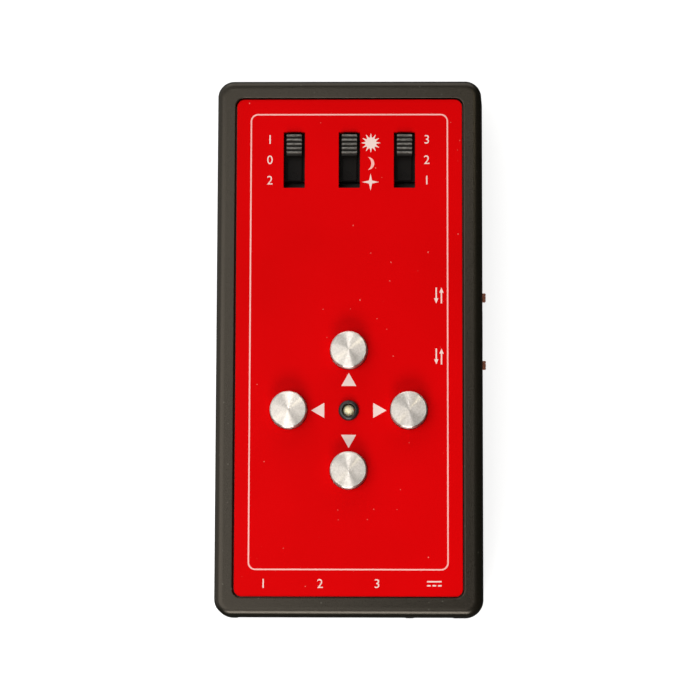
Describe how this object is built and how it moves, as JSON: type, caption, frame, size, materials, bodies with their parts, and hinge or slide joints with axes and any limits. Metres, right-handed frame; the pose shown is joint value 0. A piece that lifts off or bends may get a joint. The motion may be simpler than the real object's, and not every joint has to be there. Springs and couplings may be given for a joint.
{
  "type": "telescope drive hand controller",
  "caption": "Hand controller for a two-axis telescope drive, with arrow buttons, slide switches, a status lamp and sockets for the motor, guider and power leads.",
  "frame": {"origin": "centre of the back face, on the plane that the box lies on", "axes": "+Z out of the printed face, +Y towards the end with the slide switches, +X to the right as the face is read"},
  "size_m": [0.0686, 0.1358, 0.03],
  "materials": {
    "case_plastic": "warm dark grey moulded plastic with a fine texture",
    "red_plate": "smooth red coating with pale printed marks",
    "turned_aluminium": "fine concentric turning marks",
    "switch_plastic": "black moulded plastic",
    "side_knob_plastic": "dark brown moulded plastic",
    "switch_steel": "plated sheet steel",
    "switch_base": "brown phenolic board",
    "board_resin": "green glass-epoxy circuit board",
    "lens_plastic": "cream diffused lens",
    "socket_plastic": "black moulded plastic",
    "contact_metal": "gold-plated spring wire",
    "chip_resin": "black moulded resin",
    "screw_steel": "dark plated steel"
  },
  "bodies": {
    "case": {"front_shell": "case_plastic", "rear_cover": "case_plastic", "front_plate": "red_plate", "circuit_board": "board_resin", "tact_switch_up": "switch_plastic", "tact_switch_down": "switch_plastic", "tact_switch_left": "switch_plastic", "tact_switch_right": "switch_plastic", "led": "lens_plastic", "led_bezel": "switch_plastic", "slide_frame_hemisphere": "switch_steel", "slide_frame_tracking": "switch_steel", "slide_frame_speed": "switch_steel", "slide_base_hemisphere": "switch_base", "slide_base_tracking": "switch_base", "slide_base_speed": "switch_base", "side_switch_invert_ra": "switch_steel", "side_switch_invert_dec": "switch_steel", "jack_ra": "socket_plastic", "jack_dec": "socket_plastic", "jack_guide": "socket_plastic", "contacts_ra": "contact_metal", "contacts_dec": "contact_metal", "contacts_guide": "contact_metal", "power_jack": "socket_plastic", "power_pin": "switch_steel", "microcontroller": "chip_resin", "motor_driver_ra": "chip_resin", "motor_driver_dec": "chip_resin", "regulator": "chip_resin", "crystal": "switch_steel", "supply_capacitor": "chip_resin", "case_screw_1": "screw_steel", "case_screw_2": "screw_steel", "case_screw_3": "screw_steel", "case_screw_4": "screw_steel", "board_screw_1": "screw_steel", "board_screw_2": "screw_steel", "board_screw_3": "screw_steel", "board_screw_4": "screw_steel"},
    "button_up": {"button_cap_up": "turned_aluminium", "plunger_up": "switch_plastic"},
    "button_down": {"button_cap_down": "turned_aluminium", "plunger_down": "switch_plastic"},
    "button_left": {"button_cap_left": "turned_aluminium", "plunger_left": "switch_plastic"},
    "button_right": {"button_cap_right": "turned_aluminium", "plunger_right": "switch_plastic"},
    "hemisphere_switch": {"slider_hemisphere": "switch_plastic"},
    "tracking_switch": {"slider_tracking": "switch_plastic"},
    "speed_switch": {"slider_speed": "switch_plastic"},
    "invert_ra_switch": {"side_knob_invert_ra": "side_knob_plastic"},
    "invert_dec_switch": {"side_knob_invert_dec": "side_knob_plastic"}
  },
  "joints": [
    {"name": "press_up", "type": "slide", "parent": "case", "child": "button_up", "axis": [0, 0, -1], "range_m": [0, 0.0005], "stiffness_N_per_m": 2000},
    {"name": "press_down", "type": "slide", "parent": "case", "child": "button_down", "axis": [0, 0, -1], "range_m": [0, 0.0005], "stiffness_N_per_m": 2000},
    {"name": "press_left", "type": "slide", "parent": "case", "child": "button_left", "axis": [0, 0, -1], "range_m": [0, 0.0005], "stiffness_N_per_m": 2000},
    {"name": "press_right", "type": "slide", "parent": "case", "child": "button_right", "axis": [0, 0, -1], "range_m": [0, 0.0005], "stiffness_N_per_m": 2000},
    {"name": "slide_hemisphere", "type": "slide", "parent": "case", "child": "hemisphere_switch", "axis": [0, -1, 0], "range_m": [0, 0.0074]},
    {"name": "slide_tracking", "type": "slide", "parent": "case", "child": "tracking_switch", "axis": [0, -1, 0], "range_m": [0, 0.0074]},
    {"name": "slide_speed", "type": "slide", "parent": "case", "child": "speed_switch", "axis": [0, -1, 0], "range_m": [0, 0.0074]},
    {"name": "slide_invert_ra", "type": "slide", "parent": "case", "child": "invert_ra_switch", "axis": [0, -1, 0], "range_m": [0, 0.002]},
    {"name": "slide_invert_dec", "type": "slide", "parent": "case", "child": "invert_dec_switch", "axis": [0, 1, 0], "range_m": [0, 0.002]}
  ]
}
